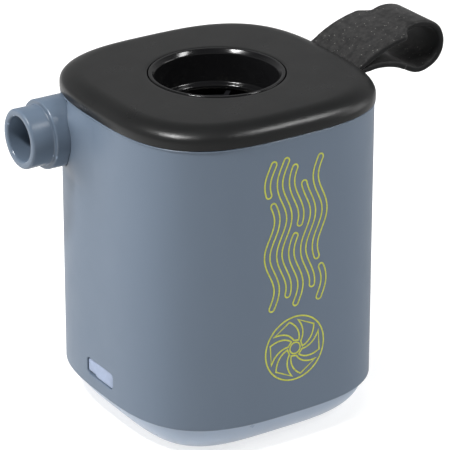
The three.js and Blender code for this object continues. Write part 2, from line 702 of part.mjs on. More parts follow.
place('motor_can', 'steel', motorCan());
place('motor_end_cap', 'black', motorCap());
place('motor_shaft', 'steel', rod('z', SHAFT_R, 12.8, 51.8, [0, 0], 16));
place('armature', 'copper', armature());
place('commutator', 'copper', washer(SHAFT_R + 0.1, 2.6, 17.4, 20.7, COARSE));
place('motor_bearing_upper', 'steel', washer(SHAFT_R + 0.1, 3.1, 42, 45.6, COARSE));
place('motor_bearing_lower', 'steel', washer(SHAFT_R + 0.1, 3, 13.2, 16.4, COARSE));
[0, Math.PI].forEach((middle, i) => place(`motor_magnet_${i + 1}`, 'magnet', magnet(middle)));
TERMINAL_Y.forEach((y, i) => {
  place(`motor_terminal_${i + 1}`, 'copper', block([-1.2, y - 0.3, 11.2], [1.2, y + 0.3, 16.2]));
});
MOTOR_SCREWS.forEach((at, i) => place(`motor_screw_${i + 1}`, 'steel', screw(at, 45, 46, 41.8, 1.7)));

place('chassis', 'inner', chassis());
place('battery_cell', 'cell', block(CELL_LOW, CELL_HIGH));
place('battery_pad', 'foam', block([13.2, -12, 42.3], [20, 12, 43.5]));
place('main_board', 'board', mainBoard());
place('charge_chip', 'chip', block([-6, 6, BOARD_TOP + GAP], [-1, 11, 9.3]));
place('filter_capacitor', 'black', rod('x', 1.6, 4, 11, [-8, 9.9], 16));
BOARD_SCREWS.forEach((at, i) => {
  place(`board_screw_${i + 1}`, 'steel', screw(at, 5.4, 6.6, 11.2, 1.9, 0.8));
});

for (let i = 0; i < LED_COUNT; i += 1) {
  const chip = new THREE.BoxGeometry(3.5, 2.8, 0.8);
  chip.translate(LED_CIRCLE_R, 0, 6.2);
  chip.rotateZ((Math.PI * 2 * (i + 0.5)) / LED_COUNT);
  place(`lamp_led_${i + 1}`, 'led', solid(chip));
}

place('usb_receptacle', 'steel', usbShell());
place('usb_tongue', 'black', block([-21.6, -3.3, 9.45], [-16.5, 3.3, 10.15]));
place('usb_flap', 'plug', usbFlap());

place('power_button', 'button', powerButton());
place('switch_board', 'board', block([-7, 17.3, 26], [7, 18.3, 39]));
place('tact_switch', 'chip', block([-3, 18.6, BUTTON_Z - 3], [3, 20.6, BUTTON_Z + 3]));
place('tact_plunger', 'black', rod('y', 1.7, 21.2, 22.15, [0, BUTTON_Z]));

place('strap_loop', 'silicone', strapLoop());
place('strap_anchor', 'silicone', strapAnchor());
STRAP_PINS.forEach((at, i) => {
  place(`strap_pin_${i + 1}`, 'steel', rod('z', 1, COVER_TOP + GAP, LID_CEILING - GAP, at, 16));
});

SCREW_CORNERS.forEach((at, i) => {
  place(`stack_screw_${i + 1}`, 'steel', screw(at, COVER_TOP + GAP, 59.9, 36));
});

lead('motor_lead_1', 'red', [[0, 8.1, 12], [2, 9.6, 11], [5, 11.5, 9.2], [8, 12.5, 8.8]]);
lead('motor_lead_2', 'black', [[0, -8.1, 12], [-2, -9.6, 11], [-5, -11.5, 9.2], [-8, -12.5, 8.8]]);
lead('battery_lead_1', 'red', [[12.1, 11.5, 30], [11, 11.5, 27], [11, 11.5, 16], [11, 11.5, 8.9]]);
lead('battery_lead_2', 'black', [[12.1, -11.5, 30], [11, -11.5, 27], [11, -11.5, 16], [11, -11.5, 8.9]]);
lead('switch_lead_1', 'black', [[3, 19.2, 28], [3, 19.2, 20], [3, 19.2, 13], [3, 18.4, 8.9]]);
lead('switch_lead_2', 'red', [[-3, 19.2, 28], [-3, 19.2, 20], [-3, 19.2, 13], [-3, 18.4, 8.9]]);

export default pump;
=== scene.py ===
import json
import math

import bpy
import bmesh
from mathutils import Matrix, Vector


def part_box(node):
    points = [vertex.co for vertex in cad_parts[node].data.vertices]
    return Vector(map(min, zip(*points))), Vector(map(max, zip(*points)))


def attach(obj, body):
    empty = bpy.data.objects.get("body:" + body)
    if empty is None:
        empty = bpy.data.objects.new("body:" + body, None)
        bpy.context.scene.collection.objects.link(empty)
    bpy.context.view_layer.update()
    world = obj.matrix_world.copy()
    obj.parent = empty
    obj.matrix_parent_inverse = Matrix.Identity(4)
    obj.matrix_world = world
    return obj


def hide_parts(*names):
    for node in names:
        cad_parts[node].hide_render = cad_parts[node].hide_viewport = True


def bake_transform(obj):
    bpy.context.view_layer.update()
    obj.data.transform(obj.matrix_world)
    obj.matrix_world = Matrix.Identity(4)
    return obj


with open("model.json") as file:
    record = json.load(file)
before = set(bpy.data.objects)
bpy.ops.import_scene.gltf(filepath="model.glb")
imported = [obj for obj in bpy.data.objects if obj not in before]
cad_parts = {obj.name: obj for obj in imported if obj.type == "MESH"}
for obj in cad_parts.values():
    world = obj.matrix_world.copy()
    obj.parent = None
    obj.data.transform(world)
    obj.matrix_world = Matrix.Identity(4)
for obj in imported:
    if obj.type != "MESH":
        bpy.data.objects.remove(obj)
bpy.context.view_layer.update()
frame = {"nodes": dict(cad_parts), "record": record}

MM = 0.001
TAU = math.tau
SAME_POINT = 1e-7  # metres

# ---- sizes, from the frame
CORNER_POWER = 3.07  # roundness of the rounded-square outline
BASE_CORNER_POWER = 3.8  # the base is squarer than the case
WALL = 1.9 * MM


def middle(node):
    """Middle of a CAD node's box."""
    low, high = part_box(node)
    return (low + high) / 2


CASE_LOW, CASE_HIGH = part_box("body_shell")
CASE_BOTTOM, CASE_TOP = CASE_LOW.z, CASE_HIGH.z
CASE_FOOT_HALF = CASE_HIGH.x
CASE_HALF = CASE_FOOT_HALF - 0.15 * MM  # at the top: the mould's draft
INNER_HALF = CASE_HALF - WALL
LID_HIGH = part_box("top_cover")[1]
LID_HALF = LID_HIGH.y
LID_TOP = LID_HIGH.z
LID_BOTTOM = CASE_TOP + 0.06 * MM  # the seam is a hairline
RING_LOW, RING_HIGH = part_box("inlet_ring")
NOZZLE_LOW, NOZZLE_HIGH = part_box("outlet_nozzle")
NOZZLE = middle("outlet_nozzle")
BASE_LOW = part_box("lamp_diffuser")[0]
FLAP_LOW, FLAP_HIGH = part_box("usb_flap")
USB_Z = (FLAP_LOW.z + FLAP_HIGH.z) / 2
BUTTON = middle("power_button")
STRAP_LOW, STRAP_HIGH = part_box("strap_loop")


# ---- outlines
def outline_reach(angle, power=CORNER_POWER):
    """How far a rounded square of half-width 1 reaches at an angle."""
    spread = abs(math.cos(angle)) ** power + abs(math.sin(angle)) ** power
    return spread ** (-1 / power)


def outline_depth(across, half, power=CORNER_POWER):
    """How far out a face of the rounded square lies, at a distance from the face's middle."""
    return (half ** power - abs(across) ** power) ** (1 / power)


def case_half(z):
    """Half-width of the case at a height: it narrows a little towards the lid."""
    share = (z - CASE_BOTTOM) / (CASE_TOP - CASE_BOTTOM)
    return CASE_FOOT_HALF + (CASE_HALF - CASE_FOOT_HALF) * share


def smooth(low, high, value):
    """0 below low, 1 above high, and a soft S between them."""
    t = min(max((value - low) / (high - low), 0.0), 1.0)
    return t * t * (3 - 2 * t)


def quarter(centre, reach, start, steps):
    """Points of a quarter round: start is its first angle, and it turns a quarter turn left."""
    points = []
    for i in range(steps + 1):
        angle = start + TAU / 4 * i / steps
        points.append((centre[0] + reach[0] * math.cos(angle),
                       centre[1] + reach[1] * math.sin(angle)))
    return points


# ---- mesh building
def make_object(name, vertices, faces, material, sharp=math.radians(40)):
    """A smooth-shaded object whose edges above the sharp angle stay crisp."""
    mesh = bpy.data.meshes.new(name)
    mesh.from_pydata([tuple(v) for v in vertices], [], faces)
    mesh.validate()
    builder = bmesh.new()
    builder.from_mesh(mesh)
    bmesh.ops.remove_doubles(builder, verts=builder.verts, dist=SAME_POINT)
    loose = [v for v in builder.verts if not v.link_faces]
    bmesh.ops.delete(builder, geom=loose, context="VERTS")
    bmesh.ops.recalc_face_normals(builder, faces=builder.faces)
    builder.to_mesh(mesh)
    builder.free()
    mesh.shade_smooth()
    mesh.set_sharp_from_angle(angle=sharp)
    obj = bpy.data.objects.new(name, mesh)
    bpy.context.scene.collection.objects.link(obj)
    mesh.materials.append(material)
    return obj


def piece(obj, body, slot, *nodes):
    """The piece rides on a body and stands for CAD nodes; the slot is not used."""
    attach(obj, body)
    if nodes:
        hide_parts(*nodes)
    return obj


def bridge(first, second):
    """Quads between two closed loops of vertex indices."""
    count = len(first)
    return [(first[i], first[(i + 1) % count], second[(i + 1) % count], second[i])
            for i in range(count)]


def strip_faces(first, second, count):
    """Quads between two closed rows of vertices, given each row's first index."""
    return bridge(range(first, first + count), range(second, second + count))


def loft(rings, closed_v=False):
    """Quads along closed rings of equal length, joined end to end when closed_v."""
    count = len(rings[0])
    vertices = [point for ring in rings for point in ring]
    faces = []
    pairs = len(rings) if closed_v else len(rings) - 1
    for r in range(pairs):
        faces += strip_faces(r * count, (r + 1) % len(rings) * count, count)
    return vertices, faces


def square_ring(half, z, segments, power=CORNER_POWER):
    """Points around a rounded square of a half-width, at a height."""
    ring = []
    for i in range(segments):
        angle = TAU * i / segments
        reach = half * outline_reach(angle, power)
        ring.append((reach * math.cos(angle), reach * math.sin(angle), z))
    return ring


def round_ring(radius, z, segments):
    """Points around a circle, at a height."""
    return [(radius * math.cos(TAU * i / segments), radius * math.sin(TAU * i / segments), z)
            for i in range(segments)]


def blend_rings(first, second, share):
    """The ring that lies a share of the way from one ring to another."""
    return [tuple(a + (b - a) * share for a, b in zip(p, q)) for p, q in zip(first, second)]


def turned(profile, segments, centre=(0, 0), axis="z"):
    """A profile of (radius, along) points turned about an axis; one clear of the axis is closed."""
    rings = []
    for radius, along in profile:
        ring = round_ring(max(radius, 0.0), along, segments)
        if axis == "x":
            ring = [(z, centre[0] + x, centre[1] + y) for x, y, z in ring]
        elif axis == "y":
            ring = [(centre[0] + x, z, centre[1] + y) for x, y, z in ring]
        rings.append(ring)
    closed = profile[0][0] > 0 and profile[-1][0] > 0
    return loft(rings, closed_v=closed)


def rounded_profile(corners, steps=5):
    """A closed profile with each corner (radius, along, rounding) rounded by an arc."""
    points = []
    total = len(corners)
    for i, (u, v, rounding) in enumerate(corners):
        here = Vector((u, v))
        before = Vector(corners[i - 1][:2]) - here
        after = Vector(corners[(i + 1) % total][:2]) - here
        if rounding <= 0:
            points.append((u, v))
            continue
        half_angle = before.angle(after) / 2
        back = min(rounding / math.tan(half_angle), before.length * 0.49, after.length * 0.49)
        radius = back * math.tan(half_angle)
        to_centre = (before.normalized() + after.normalized()).normalized()
        centre = here + to_centre * (radius / math.sin(half_angle))
        start = here + before.normalized() * back - centre
        end = here + after.normalized() * back - centre
        sweep = start.angle_signed(end)
        for k in range(steps + 1):
            turn = -sweep * k / steps
            points.append((
                centre.x + start.x * math.cos(turn) - start.y * math.sin(turn),
                centre.y + start.x * math.sin(turn) + start.y * math.cos(turn),
            ))
    return points


# ---- materials
NOISE_SPAN = (0.3, 0.7)  # where most of a noise texture's values lie
UPWARD_SPAN = (0.25, 0.75)  # normal's Z from which, and to which, dust settles
WEAR_AND_HIGHLIGHT_SPAN = (0.52, 0.6)  # pointiness of the convex edges that are painted lighter: rubbed wear, and on the nozzle a painted highlight
FILM_COLOUR, FLECK_COLOUR = (0.16, 0.155, 0.15), (0.5, 0.49, 0.46)


class Nodes:
    """Small helper around a material's node tree."""

    def __init__(self, name):
        self.material = bpy.data.materials.new(name)
        self.material.use_nodes = True
        self.tree = self.material.node_tree
        self.shader = self.tree.nodes["Principled BSDF"]
        self.coordinates = self.tree.nodes.new("ShaderNodeTexCoord")

    def link(self, source, target):
        self.tree.links.new(source, target)

    def noise(self, scale, detail=2.0, roughness=0.5, stretch=None):
        """Noise whose scale is in features per metre; stretch squeezes it along X, Y and Z."""
        texture = self.tree.nodes.new("ShaderNodeTexNoise")
        texture.inputs["Scale"].default_value = scale
        texture.inputs["Detail"].default_value = detail
        texture.inputs["Roughness"].default_value = roughness
        self.link(self.place(stretch), texture.inputs["Vector"])
        return texture.outputs["Fac"]

    def specks(self, scale, randomness=1.0):
        """Distance from scattered points, whose scale is in points per metre."""
        texture = self.tree.nodes.new("ShaderNodeTexVoronoi")
        texture.inputs["Scale"].default_value = scale
        texture.inputs["Randomness"].default_value = randomness
        self.link(self.place(None), texture.inputs["Vector"])
        return texture.outputs["Distance"]

    def place(self, stretch):
        """Object coordinates, stretched where asked."""
        if stretch is None:
            return self.coordinates.outputs["Object"]
        mapping = self.tree.nodes.new("ShaderNodeMapping")
        mapping.inputs["Scale"].default_value = stretch
        self.link(self.coordinates.outputs["Object"], mapping.inputs["Vector"])
        return mapping.outputs["Vector"]

    def remap(self, source, low, high, to_low, to_high):
        """A value's span from low to high, mapped on another span."""
        node = self.tree.nodes.new("ShaderNodeMapRange")
        node.inputs["From Min"].default_value = low
        node.inputs["From Max"].default_value = high
        node.inputs["To Min"].default_value = to_low
        node.inputs["To Max"].default_value = to_high
        self.link(source, node.inputs["Value"])
        return node.outputs["Result"]

    def spread(self, noise, to_low=0, to_high=1):
        """A noise's usual span, mapped on another span."""
        return self.remap(noise, *NOISE_SPAN, to_low, to_high)

    def mix(self, share, first, second):
        """First colour to second colour; either may be a socket."""
        node = self.tree.nodes.new("ShaderNodeMix")
        node.data_type = "RGBA"
        self.link(share, node.inputs["Factor"])
        for socket, value in ((node.inputs["A"], first), (node.inputs["B"], second)):
            if hasattr(value, "is_output"):
                self.link(value, socket)
            else:
                socket.default_value = (*value, 1.0)
        return node.outputs["Result"]

    def bumps(self, *layers):
        """Bump layers of (height, strength, distance), one over the other."""
        normal = None
        for height, strength, distance in layers:
            node = self.tree.nodes.new("ShaderNodeBump")
            node.inputs["Strength"].default_value = strength
            node.inputs["Distance"].default_value = distance
            self.link(height, node.inputs["Height"])
            if normal is not None:
                self.link(normal, node.inputs["Normal"])
            normal = node.outputs["Normal"]
        self.link(normal, self.shader.inputs["Normal"])

    def colour(self, source):
        self.link(source, self.shader.inputs["Base Color"])

    def roughness(self, source):
        self.link(source, self.shader.inputs["Roughness"])

    def facing_up(self):
        """1 on surfaces that face up, where dust settles, and 0 on walls and below."""
        split = self.tree.nodes.new("ShaderNodeSeparateXYZ")
        self.link(self.coordinates.outputs["Normal"], split.inputs["Vector"])
        return self.remap(split.outputs["Z"], *UPWARD_SPAN, 0.0, 1.0)

    def times(self, first, second):
        """Product of two values."""
        node = self.tree.nodes.new("ShaderNodeMath")
        node.operation = "MULTIPLY"
        self.link(first, node.inputs[0])
        self.link(second, node.inputs[1])
        return node.outputs["Value"]

    def worn_and_highlit(self, colour, edge_colour, amount):
        """Convex edges drift towards a lighter colour: rubbed wear, and where it is strong, as on the
        nozzle, a painted highlight.
        """
        geometry = self.tree.nodes.new("ShaderNodeNewGeometry")
        edge = self.remap(geometry.outputs["Pointiness"], *WEAR_AND_HIGHLIGHT_SPAN, 0.0, amount)
        return self.mix(edge, colour, edge_colour)


def scaled(colour, factor):
    """A colour made lighter or darker."""
    return tuple(min(channel * factor, 1.0) for channel in colour)


def plastic(name, colour, roughness, grain=9000, grain_height=0.004, vary=0.06, coat=0.0,
            specular=0.5, wear_and_highlight=(1.5, 0.25)):
    """Moulded plastic: spark-eroded grain, faint flow variation and slightly uneven gloss.

    grain is in features per metre, grain_height in millimetres, and the last argument holds the
    brightness and the strength of the lightened convex edges: rubbed wear, and with the nozzle's
    strong setting a painted highlight.
    """
    nodes = Nodes(name)
    uneven = 0.035
    flow = nodes.noise(45, 3.0, 0.55, (1, 1, 0.35))
    body = nodes.mix(nodes.spread(flow), scaled(colour, 1 - vary), scaled(colour, 1 + vary))
    edge_brightness, edge_strength = wear_and_highlight
    # Convex edges are painted lighter: rubbed wear, and with a strong setting a painted highlight.
    nodes.colour(nodes.worn_and_highlit(body, scaled(colour, edge_brightness), edge_strength))
    gloss = nodes.noise(160, 4.0, 0.6)
    nodes.roughness(nodes.spread(gloss, roughness - uneven, roughness + uneven))
    nodes.bumps(
        (nodes.noise(60, 1.0), 0.06, 0.4 * MM),
        (nodes.noise(grain, 2.0, 0.6), 0.35, grain_height * MM),
    )
    nodes.shader.inputs["Specular IOR Level"].default_value = specular
    nodes.shader.inputs["Coat Weight"].default_value = coat
    nodes.shader.inputs["Coat Roughness"].default_value = 0.12
    return nodes


def silicone(name, colour, roughness, dust=0.0, specular=0.5):
    """Matt rubbery skin with a soft sheen and, where asked, clinging dust."""
    nodes = Nodes(name)
    uneven = 0.05
    patches = nodes.noise(220, 4.0, 0.6)
    body = nodes.mix(nodes.spread(patches), scaled(colour, 0.82), scaled(colour, 1.2))
    if dust:
        settled = nodes.facing_up()
        fleck = nodes.remap(nodes.specks(1300), 0.06, 0.12, dust, 0.0)
        film = nodes.remap(nodes.noise(900, 5.0, 0.7), 0.4, 0.75, dust * 0.05, dust * 0.3)
        body = nodes.mix(nodes.times(film, settled), body, FILM_COLOUR)
        body = nodes.mix(nodes.times(fleck, settled), body, FLECK_COLOUR)
    nodes.colour(body)
    nodes.roughness(nodes.spread(patches, roughness - uneven, roughness + uneven))
    nodes.bumps(
        (nodes.noise(300, 2.0), 0.12, 0.2 * MM),
        (nodes.noise(6500, 2.0, 0.6), 0.4, 0.006 * MM),
    )
    nodes.shader.inputs["Specular IOR Level"].default_value = specular
    nodes.shader.inputs["Sheen Weight"].default_value = 0.05
    nodes.shader.inputs["Sheen Roughness"].default_value = 0.5
    return nodes


def metal(name, colour, roughness, brushed=(1, 1, 30)):
    """Plated or enamelled metal with fine drawing lines."""
    nodes = Nodes(name)
    lines = nodes.noise(900, 3.0, 0.6, brushed)
    nodes.colour(nodes.mix(nodes.spread(lines), scaled(colour, 0.85), scaled(colour, 1.1)))
    nodes.roughness(nodes.spread(lines, roughness - 0.06, roughness + 0.08))
    nodes.bumps((lines, 0.2, 0.006 * MM))
    nodes.shader.inputs["Metallic"].default_value = 1.0
    return nodes


def lamp_material():
    """Milky lamp plastic, which lets light in a little way."""
    nodes = plastic("lamp_plastic", (0.315, 0.372, 0.458), 0.3, grain=7000,
                    grain_height=0.002, vary=0.04)
    nodes.shader.inputs["Subsurface Weight"].default_value = 0.35
    nodes.shader.inputs["Subsurface Radius"].default_value = (0.6, 0.8, 1.0)
    nodes.shader.inputs["Subsurface Scale"].default_value = 1.5 * MM
    return nodes.material


def foam_material():
    """Open-cell foam, pitted all over."""
    nodes = silicone("foam", (0.045, 0.046, 0.05), 0.9)
    nodes.bumps((nodes.specks(2200), 0.8, 0.12 * MM))
    return nodes.material


def board_material():
    """Solder mask with paler copper areas showing through it."""
    mask, over_copper = (0.012, 0.12, 0.05), (0.02, 0.17, 0.07)
    nodes = plastic("circuit_board", mask, 0.32, coat=0.4)
    tracks = nodes.remap(nodes.specks(650, 0.3), 0.3, 0.32, 0.0, 1.0)
    nodes.colour(nodes.mix(tracks, mask, over_copper))
    return nodes.material


def ink_material():
    """Pad-printed ink, thin in places."""
    nodes = Nodes("print_ink")
    thin, full = (0.36, 0.38, 0.035), (0.47, 0.5, 0.05)
    cover = nodes.remap(nodes.noise(2600, 3.0, 0.6), 0.35, 0.6, 0, 1)
    nodes.colour(nodes.mix(cover, thin, full))
    nodes.roughness(nodes.spread(nodes.noise(1500), 0.42, 0.55))
    nodes.bumps((nodes.noise(7000), 0.3, 0.005 * MM))
    return nodes.material


def make_materials():
    """One material for each finish slot: colour, then roughness."""
    return {
        "casing_plastic": plastic("casing_plastic", (0.1005, 0.133, 0.179), 0.4,
                                  vary=0.025).material,
        "lid_plastic": plastic("lid_plastic", (0.009, 0.0092, 0.0093), 0.3, grain=7000,
                               grain_height=0.06, vary=0.05, specular=0.36).material,
        "ring_plastic": plastic("ring_plastic", (0.006, 0.006, 0.0065), 0.16, grain=3000,
                                grain_height=0.001, specular=0.4).material,
        "lamp_plastic": lamp_material(),
        "plug_silicone": silicone("plug_silicone", (0.218, 0.263, 0.362), 0.5).material,
        "strap_silicone": silicone("strap_silicone", (0.0065, 0.0066, 0.007), 0.55, dust=0.5,
                                   specular=0.15).material,
        "button_plastic": silicone("button_plastic", (0.02, 0.02, 0.022), 0.5).material,
        "fan_plastic": plastic("fan_plastic", (0.7, 0.69, 0.64), 0.42).material,
        "inner_plastic": plastic("inner_plastic", (0.006, 0.006, 0.007), 0.7,
                                 specular=0.08).material,
        "foam": foam_material(),
        "steel": metal("steel", (0.52, 0.53, 0.55), 0.3).material,
        "magnet_ferrite": plastic("magnet_ferrite", (0.045, 0.045, 0.05), 0.6,
                                  grain_height=0.02).material,
        "copper": metal("copper", (0.6, 0.26, 0.12), 0.32, (40, 40, 1)).material,
        "circuit_board": board_material(),
        "chip_plastic": plastic("chip_plastic", (0.012, 0.012, 0.012), 0.45).material,
        "led_lens": plastic("led_lens", (0.8, 0.72, 0.25), 0.25, coat=0.5).material,
        "battery_wrap": metal("battery_wrap", (0.55, 0.56, 0.58), 0.42, (3, 3, 3)).material,
        "lead_red": silicone("lead_red", (0.4, 0.015, 0.012), 0.45).material,
        "lead_black": silicone("lead_black", (0.01, 0.01, 0.01), 0.45).material,
    }


MATERIALS = make_materials()
# The nozzle is the casing's plastic from a smoother mould. Its colour is painted darker all over as
# painted shade, and its convex edges are painted much lighter as a painted highlight.
NOZZLE_PLASTIC = plastic("nozzle_plastic", (0.09, 0.119, 0.16), 0.24, vary=0.02,
                         grain_height=0.002, wear_and_highlight=(2.2, 0.9)).material


def finish_nodes():
    """Every carried-over CAD node takes its slot's material."""
    slots = {row["node"]: row["material_slot"] for row in frame["record"]["subparts"]}
    for name, node in frame["nodes"].items():
        node.data.materials.clear()
        node.data.materials.append(MATERIALS[slots[name]])


# ---- case
NOZZLE_COLLAR = (NOZZLE_HIGH.y - NOZZLE_LOW.y) / 2  # radius
RAMP_RISE = -CASE_LOW.x - CASE_HALF  # how far the ramp swells out of the wall
RAMP_WIDTH = 7 * MM  # from the collar to where the ramp has died out
BUTTON_HOLE = 4.95 * MM  # radius
USB_HOLE = (4.52 * MM, 1.65 * MM, 0.9 * MM)  # half-width, half-height, corner radius
COLUMNS, FINE_COLUMNS = 300, 900  # of the case, to a full turn
ROW_STEP, FINE_ROW_STEP = 0.9 * MM, 0.3 * MM
FINE_MARGIN = 1 * MM  # the mesh is fine this far around an opening
FOOT_EDGE, TOP_EDGE = 0.3 * MM, 0.14 * MM  # roundings of the case's two ends
LIP_REACH = 0.16 * MM  # how far the case's top flares out
CLEARANCE = 0.12 * MM  # the case's grid stops this far from an opening's edge


def ramp(y, z):
    """How far the wall swells out beside the nozzle's collar, dying out under the lid."""
    across, up = y - NOZZLE.y, z - NOZZLE.z
    towards_middle = 1 - smooth(0.5 * NOZZLE_COLLAR, NOZZLE_COLLAR + RAMP_WIDTH, -across)
    towards_edge = 1 - smooth(0, NOZZLE_COLLAR, across)
    towards_lid = 1 - smooth(3 * MM, CASE_TOP - NOZZLE.z, up)
    towards_foot = smooth(-8.5 * MM, -2.5 * MM, up)
    return RAMP_RISE * towards_middle * towards_edge * towards_lid * towards_foot


def circle_reach(radius):
    """Distance from the middle to a circle's edge, at any angle."""
    return lambda angle: radius


def slab_reach(half_width, half_height, corner):
    """Distance from the middle to a rounded rectangle's edge at an angle."""
    def reach(angle):
        c, s = abs(math.cos(angle)), abs(math.sin(angle))
        straight = min(half_width / max(c, 1e-9), half_height / max(s, 1e-9))
        x, y = straight * c, straight * s
        cx, cy = half_width - corner, half_height - corner
        if x <= cx or y <= cy:
            return straight
        along = c * cx + s * cy
        return along + math.sqrt(max(along * along - cx * cx - cy * cy + corner * corner, 0.0))
    return reach


def spaced(low, high, coarse, fine_spans, fine):
    """Values from low to high, closer together inside the fine spans."""
    values = [low]
    while values[-1] < high - 1e-9:
        here = values[-1]
        inside = any(a - coarse <= here <= b for a, b in fine_spans)
        values.append(min(here + (fine if inside else coarse), high))
    if values[-1] - values[-2] < 0.3 * fine:
        values.pop(-2)
    return values


def case_angles():
    """Angles of the case's columns, closer together at the openings."""
    usb = math.atan2(USB_HOLE[0] + FINE_MARGIN, CASE_HALF)
    nozzle = math.atan2(NOZZLE.y, CASE_HALF)
    spans = [
        (TAU / 2 - usb, TAU / 2 + usb),
        (TAU / 2 - nozzle - 0.45, TAU / 2 - nozzle + 0.4),
        (TAU / 4 - 0.26, TAU / 4 + 0.26),  # the button
    ]
    return spaced(0, TAU, TAU / COLUMNS, spans, TAU / FINE_COLUMNS)[:-1]


def case_heights():
    """Heights of the case's rows, closer together at the openings."""
    spans = [
        (USB_Z - USB_HOLE[1] - FINE_MARGIN, USB_Z + USB_HOLE[1] + FINE_MARGIN),
        (NOZZLE_LOW.z - 2.5 * MM, CASE_TOP),
        (BUTTON.z - BUTTON_HOLE - FINE_MARGIN, BUTTON.z + BUTTON_HOLE + FINE_MARGIN),
    ]
    low, high = CASE_BOTTOM + 0.35 * MM, CASE_TOP - 0.3 * MM
    return spaced(low, high, ROW_STEP, spans, FINE_ROW_STEP)


class Opening:
    """A hole in one face of the case, straight through the wall."""

    def __init__(self, face, centre, reach, rounding):
        self.face = face
        self.centre = centre
        self.reach = reach
        self.rounding = rounding

    def across(self, point):
        """Where a point lies along the face."""
        return point[1] if self.face == "-x" else point[0]

    def on_this_side(self, point):
        return point[0] < 0 if self.face == "-x" else point[1] > 0

    def polar(self, point):
        """Angle and distance from the opening's middle."""
        u, v = self.across(point) - self.centre[0], point[2] - self.centre[1]
        return math.atan2(v, u), math.hypot(u, v)

    def holds(self, point, margin):
        """Whether a point of the wall lies inside the opening's edge, or within a margin of it."""
        if not self.on_this_side(point):
            return False
        angle, distance = self.polar(point)
        return distance < self.reach(angle) + margin

    def at(self, angle, extra, half, with_ramp):
        """Point of the wall over the opening's edge; no half-width means the outer wall."""
        distance = self.reach(angle) + extra
        u = self.centre[0] + distance * math.cos(angle)
        z = self.centre[1] + distance * math.sin(angle)
        depth = outline_depth(u, half or case_half(z))
        if self.face == "-x":
            return (-depth - (ramp(u, z) if with_ramp else 0.0), u, z)
        return (u, depth, z)


def case_rows():
    """The outer wall's (half-width, height) from foot to top, with a small flared lip."""
    edge = FOOT_EDGE
    rows = quarter((CASE_FOOT_HALF - edge, CASE_BOTTOM + edge), (edge, edge), -TAU / 4, 4)[:-1]
    rows += [(case_half(z), z) for z in case_heights()]
    lip = CASE_HALF + LIP_REACH
    rows += [(CASE_HALF + 0.05 * MM, CASE_TOP - 0.24 * MM), (lip, CASE_TOP - 0.18 * MM)]
    rows += quarter((lip - TOP_EDGE, CASE_TOP - TOP_EDGE), (TOP_EDGE, TOP_EDGE), 0.0, 4)
    return rows


def case_point(half, angle, z, with_ramp):
    """A point of the case's wall; the ramp swells the -X face out."""
    reach = half * outline_reach(angle)
    x, y = reach * math.cos(angle), reach * math.sin(angle)
    if with_ramp and x < 0:
        x -= ramp(y, z) * smooth(0, 0.5 * CASE_HALF, -x)
    return (x, y, z)


def case_shell():
    """Open tube with a ramp beside the nozzle and three openings in its wall."""
    angles, rows = case_angles(), case_rows()
    openings = [
        Opening("-x", (0.0, USB_Z), slab_reach(*USB_HOLE), 0.14 * MM),
        Opening("-x", (NOZZLE.y, NOZZLE.z), circle_reach(NOZZLE_COLLAR + 0.03 * MM), 0.28 * MM),
        Opening("+y", (BUTTON.x, BUTTON.z), circle_reach(BUTTON_HOLE), 0.16 * MM),
    ]
    count = len(angles)
    vertices, faces = [], []
    for outer in (True, False):
        first = len(vertices)
        for half, z in rows:
            width = half if outer else INNER_HALF
            vertices += [case_point(width, angle, z, outer) for angle in angles]
        grid = []
        for r in range(len(rows) - 1):
            grid += strip_faces(first + r * count, first + (r + 1) * count, count)
        for opening in openings:
            margin = opening.rounding + CLEARANCE
            grid = [f for f in grid if not any(opening.holds(vertices[i], margin) for i in f)]
        faces += grid if outer else [tuple(reversed(f)) for f in grid]
    last = (len(rows) - 1) * count
    inner = len(rows) * count
    faces += strip_faces(0, inner, count)
    faces += strip_faces(last, inner + last, count)
    for opening in openings:
        line_opening(opening, vertices, faces, inner)
    return make_object("case_shell", vertices, faces, MATERIALS["casing_plastic"])


def rim_loop(opening, vertices, faces, low, high):
    """The vertices around an opening in one wall, by angle."""
    search, rim = 3 * MM, 1.4 * MM  # how far from the opening's edge to look
    uses = {}
    for face in faces:
        if not low <= face[0] < high:
            continue
        if not all(opening.holds(vertices[i], search) for i in face):
            continue
        for a, b in zip(face, face[1:] + face[:1]):
            key = (min(a, b), max(a, b))
            uses[key] = uses.get(key, 0) + 1
    near = {}
    for (a, b), times in uses.items():
        if times != 1:
            continue
        pair = [vertices[i] for i in (a, b)]
        if all(opening.holds(p, rim) for p in pair):
            near[a] = near.get(a, 0) + 1
            near[b] = near.get(b, 0) + 1
    loop = [i for i, times in near.items() if times == 2]
    return sorted(loop, key=lambda i: opening.polar(vertices[i])[0])


def line_opening(opening, vertices, faces, inner_start):
    """Closes the wall's thickness around an opening, with a rounded outer edge."""
    loops = [
        rim_loop(opening, vertices, faces, 0, inner_start),
        rim_loop(opening, vertices, faces, inner_start, 2 * inner_start),
    ]
    angles = [[opening.polar(vertices[i])[0] for i in loop] for loop in loops]
    previous = loops[0]
    edge = opening.rounding
    layers = []
    steps = 4
    for step in range(steps + 1):
        turn = TAU / 4 * step / steps
        layers.append((edge * (1 - math.sin(turn)), edge * (1 - math.cos(turn))))
    layers.append((0.0, WALL * 0.5))
    for extra, depth in layers:
        ring = []
        for angle in angles[0]:
            x, y, z = opening.at(angle, extra, None, True)
            shift = (depth, 0) if opening.face == "-x" else (0, -depth)
            vertices.append((x + shift[0], y + shift[1], z))
            ring.append(len(vertices) - 1)
        faces += bridge(previous, ring)
        previous = ring
    ring = []
    for angle in angles[0]:
        vertices.append(opening.at(angle, 0.0, INNER_HALF, False))
        ring.append(len(vertices) - 1)
    faces += bridge(previous, ring)
    faces += zip_loops(ring, angles[0], loops[1], angles[1])


